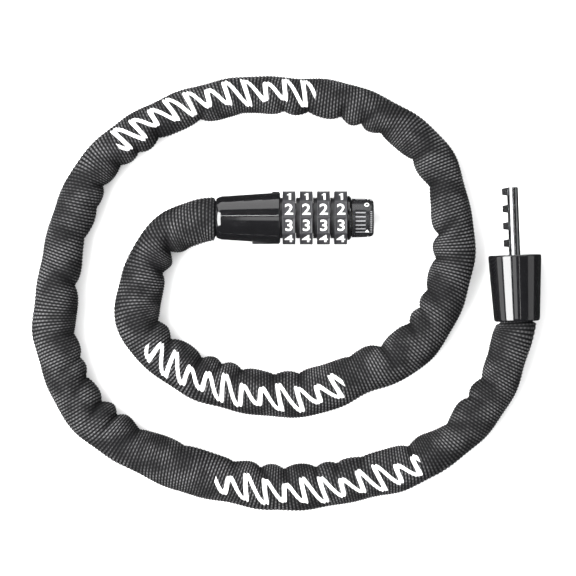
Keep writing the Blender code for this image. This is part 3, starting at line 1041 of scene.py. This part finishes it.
@dataclass
class Sleeve:
    """The woven sleeve round the chain, laid on the table along its route."""

    dresser: Dresser
    diameter: float = 18 * MM
    height: float = 9.0 * MM
    axis_z: float = 9.05 * MM
    barrel_z: float = 12.2 * MM
    plug_z: float = 11.9 * MM
    end_lift: float = 38 * MM
    plug_heading: float = math.radians(92)
    rings_per_rib: int = 4
    around: int = 36
    end_piece: float = 16 * MM
    tuck: float = 1.4 * MM
    # Centre line from the barrel to the plug, in millimetres.
    route: tuple[tuple[float, float], ...] = (
        (-35.0, 0.0), (-43.0, -1.6), (-54.0, -6.0), (-62.5, -14.5), (-67.5, -27.5), (-69.8, -41.0),
        (-65.5, -53.0), (-55.0, -63.0), (-38.0, -71.6), (-16.0, -77.6), (6.0, -77.2), (28.0, -69.3),
        (47.0, -60.3), (60.0, -47.5), (67.6, -30.0), (70.3, -9.0), (67.0, 12.5), (58.5, 29.5),
        (44.0, 42.0), (24.0, 50.4), (-2.0, 54.3), (-25.0, 53.5), (-50.0, 48.0), (-71.0, 36.4),
        (-88.0, 22.5), (-95.8, 6.0), (-102.0, -13.0), (-105.4, -33.0), (-105.8, -52.0),
        (-100.5, -72.0), (-88.0, -89.3), (-68.5, -102.6), (-46.0, -111.5), (-20.0, -118.0),
        (8.0, -118.6), (36.0, -113.3), (60.0, -104.6), (77.5, -89.8), (90.5, -71.0), (97.7, -46.0),
    )
    # The cloth is fuller along some stretches than along others.
    fullness: float = 1.1 * MM
    fullness_length: float = 500 * MM
    outer_r: float = 8.9 * MM
    sway: float = 0.5 * MM
    sway_length: float = 47 * MM
    # On the inside of the bends it stands in rounded billows with a crease between each two.
    crown_r: float = 9.7 * MM
    crease_depth: float = 4.6 * MM
    billow_pitch: float = 15.5 * MM
    tight_bend_r: float = 35 * MM

    def build(self, plug: Plug) -> None:
        """Builds the sleeve as a long main piece and a short piece at each fitting.

        Args:
            plug: the plug on its far end; not used.
        """
        self._lay_line()
        length = self.length
        near_cut = self.end_piece
        far_cut = length - self.end_piece
        near = self._tube("sleeve_barrel_end", -self.tuck, near_cut)
        main = self._tube("woven_sleeve", near_cut, far_cut)
        far = self._tube("sleeve_plug_end", far_cut, length + self.tuck)
        for piece in (near, main, far):
            self.dresser.dress(piece, Finish.WEAVE)
        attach(main, "sleeved_chain")
        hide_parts("fabric_sleeve")
        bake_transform(near)
        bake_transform(far)
        log.info("laid the sleeve, %.0f mm long", 1000 * length)

    @staticmethod
    def _spline(points: np.ndarray, per_segment: int) -> np.ndarray:
        """Catmull-Rom line through the points.

        Args:
            points: the route.
            per_segment: points per segment.

        Returns:
            The dense line.
        """
        ends = np.vstack([2 * points[0] - points[1], points, 2 * points[-1] - points[-2]])
        t = np.arange(per_segment)[:, None] / per_segment
        parts = []
        for i in range(len(points) - 1):
            p0, p1, p2, p3 = ends[i:i + 4]
            parts.append(0.5 * (2 * p1 + (p2 - p0) * t + (2 * p0 - 5 * p1 + 4 * p2 - p3) * t ** 2
                                + (3 * p1 - p0 - 3 * p2 + p3) * t ** 3))
        return np.vstack([*parts, points[-1:]])

    def _lay_line(self) -> None:
        """Works out the centre line, its sideways direction and where its creases are."""
        flat = self._spline(np.array(self.route) * MM, 60)
        step = np.linalg.norm(np.diff(flat, axis=0), axis=1)
        along = np.concatenate([[0], np.cumsum(step)])
        self.length = float(along[-1])
        self.along = np.linspace(-self.tuck, self.length + self.tuck, 2400)
        xy = np.stack([np.interp(self.along, along, flat[:, k]) for k in (0, 1)], axis=1)
        plug_way = np.array([math.cos(self.plug_heading), math.sin(self.plug_heading), 0.0])
        xy[:, 0] -= np.minimum(self.along, 0)
        xy += np.maximum(self.along - self.length, 0)[:, None] * plug_way[:2]

        def ease(t: np.ndarray) -> np.ndarray:
            """Smooth step from 0 to 1."""
            t = np.clip(t, 0, 1)
            return t * t * (3 - 2 * t)

        z = (self.axis_z + (self.barrel_z - self.axis_z) * (1 - ease(self.along / self.end_lift))
             + (self.plug_z - self.axis_z) * (1 - ease((self.length - self.along) / self.end_lift)))
        self.line = np.column_stack([xy, z])
        tangent = np.gradient(self.line, self.along, axis=0)
        blend_in = ease(self.along / (8 * MM))[:, None]
        tangent = tangent * blend_in + np.array([-1.0, 0, 0]) * (1 - blend_in)
        blend_out = ease((self.length - self.along) / (8 * MM))[:, None]
        tangent = tangent * blend_out + plug_way * (1 - blend_out)
        self.tangent = tangent / np.linalg.norm(tangent, axis=1)[:, None]
        side = np.cross([0.0, 0.0, 1.0], self.tangent)
        self.side = side / np.linalg.norm(side, axis=1)[:, None]
        self.up = np.cross(self.tangent, self.side)
        heading = np.unwrap(np.arctan2(self.tangent[:, 1], self.tangent[:, 0]))
        curving = np.gradient(heading, self.along) * self.tight_bend_r
        window = np.hanning(61)
        self.bend = np.clip(np.convolve(curving, window / window.sum(), mode="same"), 0, 1)

    def _frame(self, s: np.ndarray) -> tuple[np.ndarray, np.ndarray, np.ndarray]:
        """Centre, sideways and upward directions at distances along the line."""
        rows = [np.stack([np.interp(s, self.along, a[:, k]) for k in range(3)], axis=1)
                for a in (self.line, self.side, self.up)]
        return rows[0], rows[1], rows[2]

    def _slack(self, s: np.ndarray) -> np.ndarray:
        """How much fuller than usual the cloth is, in metres."""
        return self.fullness * np.sin(2 * math.pi * s / self.fullness_length)

    def _outer_reach(self, s: np.ndarray) -> np.ndarray:
        """Reach on the outside of the bends, where the cloth is drawn nearly straight."""
        turn = 2 * math.pi * s / self.sway_length
        return self.outer_r + 0.7 * self._slack(s) + self.sway * (np.sin(turn) + 0.6 * np.sin(2.3 * turn + 1))

    def _inner_reach(self, s: np.ndarray) -> np.ndarray:
        """Reach on the inside of the bends: billows, with deeper creases where the bend is tighter.

        Args:
            s: distances along the sleeve.

        Returns:
            The reach at each distance, in metres.
        """
        turn = 2 * math.pi * s / (113 * MM)
        billow = s / self.billow_pitch + 0.4 * np.sin(turn) + 0.15 * np.sin(3.1 * turn)
        bend = np.interp(s, self.along, self.bend)
        stretched = np.clip((np.minimum(s, self.length - s) - 12 * MM) / (14 * MM), 0, 1)
        depth = self.crease_depth * stretched * (0.4 + 0.6 * bend) * (0.75 + 0.25 * np.sin(1.4 * turn))
        return self.crown_r + self._slack(s) - depth * (1 - np.abs(np.sin(math.pi * billow)) ** 0.7)

    def _evened(self, s: np.ndarray, values: Callable[[np.ndarray], np.ndarray], reach: float) -> np.ndarray:
        """The running mean of a profile over a reach on both sides."""
        shifts = np.linspace(-reach, reach, 13)
        return sum(values(s + shift) for shift in shifts) / len(shifts)

    def _surface(self, s: np.ndarray, inset: float) -> tuple[np.ndarray, np.ndarray, np.ndarray]:
        """The cloth's points at distances along the sleeve, ring by ring.

        Args:
            s: distances along the sleeve.
            inset: how far inside the cloth's outer face.

        Returns:
            The points (ring, around, xyz), the distance round the sleeve from its top, and how deep
            in a crease each point lies, from 0 to 1.
        """
        centre, side, up = self._frame(s)
        theta = np.linspace(0, 2 * math.pi, self.around, endpoint=False)
        across, lift = np.sin(theta), np.cos(theta)

        outer = self._evened(s, self._outer_reach, 3.0 * MM)
        inner = self._evened(s, self._inner_reach, 0.7 * MM)
        lean = 0.75 * np.sin(2 * math.pi * s / 0.097)
        drawn = np.clip(1 - across, 0, 2)[None, :] * lean[:, None] * 7.0 * MM
        at = s[:, None] + drawn
        fold = self._evened(at, self._inner_reach, 8.0 * MM) - self._evened(at, self._inner_reach, 0.6 * MM)
        reach_over = np.clip((across + 0.75) / 1.5, 0, 1)[None, :]
        reach_over = reach_over * reach_over * (3 - 2 * reach_over)
        relief = -0.85 * fold * reach_over
        outward = np.clip(across + 0.5, 0, 1)[None, :]
        outward = outward * outward * (3 - 2 * outward)
        reach = outer[:, None] * (1 - outward) + inner[:, None] * outward
        around_top = -((theta + math.pi) % (2 * math.pi) - math.pi)[None, :] * 0.5 * (outer + inner)[:, None]
        weave = Finish.WEAVE.value
        skewed = s[:, None] + around_top * weave.skew * np.sin(2 * math.pi * s / weave.skew_length)[:, None]
        ribbed = 0.42 * MM * np.abs(np.sin(math.pi * skewed / weave.rib)) if inset == 0 else 0.0
        slack = 0.3 * MM * np.sin(2 * math.pi * s / 0.031)[:, None] * np.sin(3 * theta)[None, :]
        wide = reach - 0.25 * MM + ribbed + 0.5 * slack - inset
        tall = self.height + np.clip(relief + slack, -2.6 * MM, 0.75 * MM) - 0.25 * MM + ribbed - inset
        tall = np.where(lift[None, :] < 0, np.minimum(tall, self.height), tall)
        ends = np.minimum(s, self.length - s)
        neck = np.clip((ends + 0.6 * MM) / (1.6 * MM), 0, 1)
        neck = (0.8 + 0.2 * neck * neck * (3 - 2 * neck))[:, None]
        points = (centre[:, None, :] + (neck * wide * across[None, :])[..., None] * side[:, None, :]
                  + (neck * tall * lift[None, :])[..., None] * up[:, None, :])
        # Crease depth, from 0 to 1, which the weave uses to paint shade into the creases.
        crease_shade = np.clip(fold * reach_over / (1.3 * MM), 0, 1)
        return points, around_top, crease_shade

    def _tube(self, name: str, start: float, end: float) -> bpy.types.Object:
        """A closed cloth tube between two distances along the sleeve.

        Args:
            name: the piece's name.
            start: where it starts.
            end: where it ends.

        Returns:
            The piece, with its UV map in metres.
        """
        rings = max(12, int((end - start) / Finish.WEAVE.value.rib * self.rings_per_rib))
        s_out = np.linspace(start, end, rings + 1)
        s_in = s_out[::-8] if rings > 80 else s_out[::-4]
        if s_in[-1] > start:
            s_in = np.append(s_in, start)
        outer, u_out, hollow_out = self._surface(s_out, 0.0)
        wall = 0.8 * MM
        inner, u_in, hollow_in = self._surface(s_in, wall)
        points = np.concatenate([outer, inner])
        u = np.concatenate([u_out, u_in])
        crease_shade = np.concatenate([hollow_out, hollow_in])
        v = np.concatenate([s_out, s_in])
        n = self.around
        ring, k = np.meshgrid(np.arange(len(points)), np.arange(n), indexing="ij")
        after, beside = (ring + 1) % len(points), (k + 1) % n
        corners = [ring * n + k, after * n + k, after * n + beside, ring * n + beside]
        faces = np.stack(corners, axis=-1).reshape(-1, 4)
        mesh = bpy.data.meshes.new(name)
        mesh.from_pydata(points.reshape(-1, 3).tolist(), [], faces.tolist())
        self._map(mesh, faces, u, v, n)
        # Stores the crease depth for the painted shade in the weave's colour.
        shade = mesh.attributes.new("crease_shade", "FLOAT", "POINT")
        shade.data.foreach_set("value", crease_shade.reshape(-1).astype(np.float32))
        mesh.shade_smooth()
        mesh.update()
        piece = bpy.data.objects.new(name, mesh)
        bpy.context.collection.objects.link(piece)
        select_only(piece)
        bpy.ops.object.mode_set(mode="EDIT")
        bpy.ops.mesh.select_all(action="SELECT")
        bpy.ops.mesh.normals_make_consistent(inside=False)
        bpy.ops.object.mode_set(mode="OBJECT")
        return piece

    @staticmethod
    def _map(mesh: bpy.types.Mesh, faces: np.ndarray, u: np.ndarray, v: np.ndarray, n: int) -> None:
        """Writes the UV map: u round the sleeve from its top, v along it, in metres.

        Args:
            mesh: the tube.
            faces: its quads.
            u: distance round, ring by ring.
            v: distance along, by ring.
            n: points in a ring.
        """
        corner = faces.reshape(-1)
        round_at = u[corner // n, corner % n].reshape(-1, 4)
        width = (round_at.max(axis=1) - round_at.min(axis=1))[:, None]
        turn = 2 * np.abs(u).max(axis=1)[(faces // n)[:, 0]][:, None]
        round_at = np.where((width > turn / 2) & (round_at < 0), round_at + turn, round_at)
        layer = mesh.uv_layers.new(name="cloth")
        flat = np.column_stack([round_at.reshape(-1), v[corner // n]]).astype(np.float32)
        layer.data.foreach_set("uv", flat.reshape(-1))


# --- What stays from the frame ----------------------------------------------------------------


@dataclass
class InnerWorks:
    """Dresses the CAD nodes that stay as they are."""

    dresser: Dresser
    finishes: tuple[tuple[str, Finish], ...] = (
        ("code_wheel", Finish.BRASS), ("click_bush", Finish.SPRING), ("collar_follower", Finish.BRASS),
        ("core_tube", Finish.BRASS), ("stack_spring", Finish.SPRING), ("chain_link", Finish.CHAIN),
        ("tail_anchor_pin", Finish.CHAIN), ("plug_anchor_pin", Finish.CHAIN), ("plug_insert", Finish.INSERT),
    )

    def build(self) -> None:
        """Puts each node's finish on it."""
        for node, piece in frame["nodes"].items():
            for start, finish in self.finishes:
                if node.startswith(start):
                    self.dresser.dress(piece, finish)
                    log.info("dressed %s", node)


# --- Studio -----------------------------------------------------------------------------------


@dataclass(frozen=True)
class Softbox:
    """One soft light: its tilts from straight above what it lights, its size along X and Y, its power."""

    name: str
    target: tuple[float, float, float]
    tilt_x: float
    tilt_y: float
    distance: float
    size: tuple[float, float]
    power: float
    mirrored: bool = True

    def build(self) -> None:
        """Adds the light, aimed at its target."""
        tilt = Vector((math.tan(math.radians(self.tilt_x)), math.tan(math.radians(self.tilt_y)), 1.0))
        data = bpy.data.lights.new(self.name, "AREA")
        data.shape = "RECTANGLE"
        data.size, data.size_y = self.size
        data.energy = self.power
        lamp = bpy.data.objects.new(self.name, data)
        back = tilt.normalized()
        across = (Vector((1, 0, 0)) - back * back.x).normalized()
        lamp.location = Vector(self.target) + back * self.distance
        lamp.rotation_euler = Matrix((across, back.cross(across), back)).transposed().to_euler()
        lamp.visible_camera = False
        lamp.visible_glossy = self.mirrored
        bpy.context.collection.objects.link(lamp)


@dataclass
class Studio:
    """Pale floor, soft lights and the camera straight above."""

    centre: tuple[float, float] = (-3.06 * MM, -30.8 * MM)
    view_width: float = 253.4 * MM
    lens: float = 150.0
    sensor: float = 36.0
    barrel: tuple[float, float, float] = (-0.01, 0.0, 0.012)
    plug: tuple[float, float, float] = (0.097, -0.03, 0.012)

    def build(self) -> None:
        """Sets the whole studio up."""
        self.floor()
        self.world()
        lights = (
            Softbox("fill_above", self.barrel, 0, 0, 2.4, (4.0, 4.0), 120.0, mirrored=False),
            Softbox("key_side", self.barrel, -42, 38, 1.5, (0.5, 0.5), 6.0, mirrored=False),
            Softbox("barrel_glint", self.barrel, -13, 10, 1.4, (0.9, 0.022), 1.1),
            Softbox("barrel_band", self.barrel, -6, 68, 1.4, (2.4, 1.3), 14.0),
            Softbox("plug_band", self.plug, -41, -6, 1.3, (0.8, 1.6), 40.0),
            Softbox("plug_soft", self.plug, -7.5, -3, 1.3, (0.34, 0.4), 0.55),
            Softbox("plug_edge", self.plug, -80, -6, 1.3, (0.62, 1.6), 3.2),
            Softbox("plug_glint", self.plug, 13.5, -7, 1.4, (0.035, 0.7), 0.25),
            Softbox("plug_far_band", self.plug, 70, -6, 1.3, (0.75, 1.6), 2.2),
        )
        for light in lights:
            light.build()
        self.camera()

    def floor(self) -> None:
        """A pale seamless floor."""
        begin()
        bpy.ops.mesh.primitive_plane_add(size=6.0, location=(0, 0, -0.02 * MM))
        floor = named("studio_floor")
        shader = Shader("pale_floor")
        cloud = shader.noise(6, 3)
        shader.feed("Base Color", shader.blend_colour(cloud, (0.94, 0.94, 0.94), (0.96, 0.96, 0.96)))
        shader.feed("Roughness", 0.9)
        shader.feed("Specular IOR Level", 0.1)
        floor.data.materials.append(shader.material)
        floor.visible_glossy = False

    @staticmethod
    def world() -> None:
        """An even, dim surrounding light."""
        world = bpy.data.worlds.new("studio_air")
        world.use_nodes = True
        air = world.node_tree.nodes["Background"]
        air.inputs["Color"].default_value = (1.0, 1.0, 1.0, 1.0)
        air.inputs["Strength"].default_value = 0.04
        bpy.context.scene.world = world

    def camera(self) -> None:
        """A long lens looking straight down."""
        data = bpy.data.cameras.new("overhead_camera")
        data.lens = self.lens
        data.sensor_width = self.sensor
        camera = bpy.data.objects.new("overhead_camera", data)
        distance = self.view_width * self.lens / self.sensor
        camera.location = (*self.centre, distance + 0.012)
        bpy.context.collection.objects.link(camera)
        scene = bpy.context.scene
        scene.camera = camera
        scene.view_settings.view_transform = "Standard"


def main() -> None:
    """Builds every sub-assembly in order round the frame."""
    logging.basicConfig(level=logging.INFO)
    dresser = Dresser()
    Studio().build()
    plug = Plug(dresser)
    plug.build()
    Sleeve(dresser).build(plug)
    Barrel(dresser).build()
    InnerWorks(dresser).build()
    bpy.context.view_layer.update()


if __name__ == "__main__":
    main()
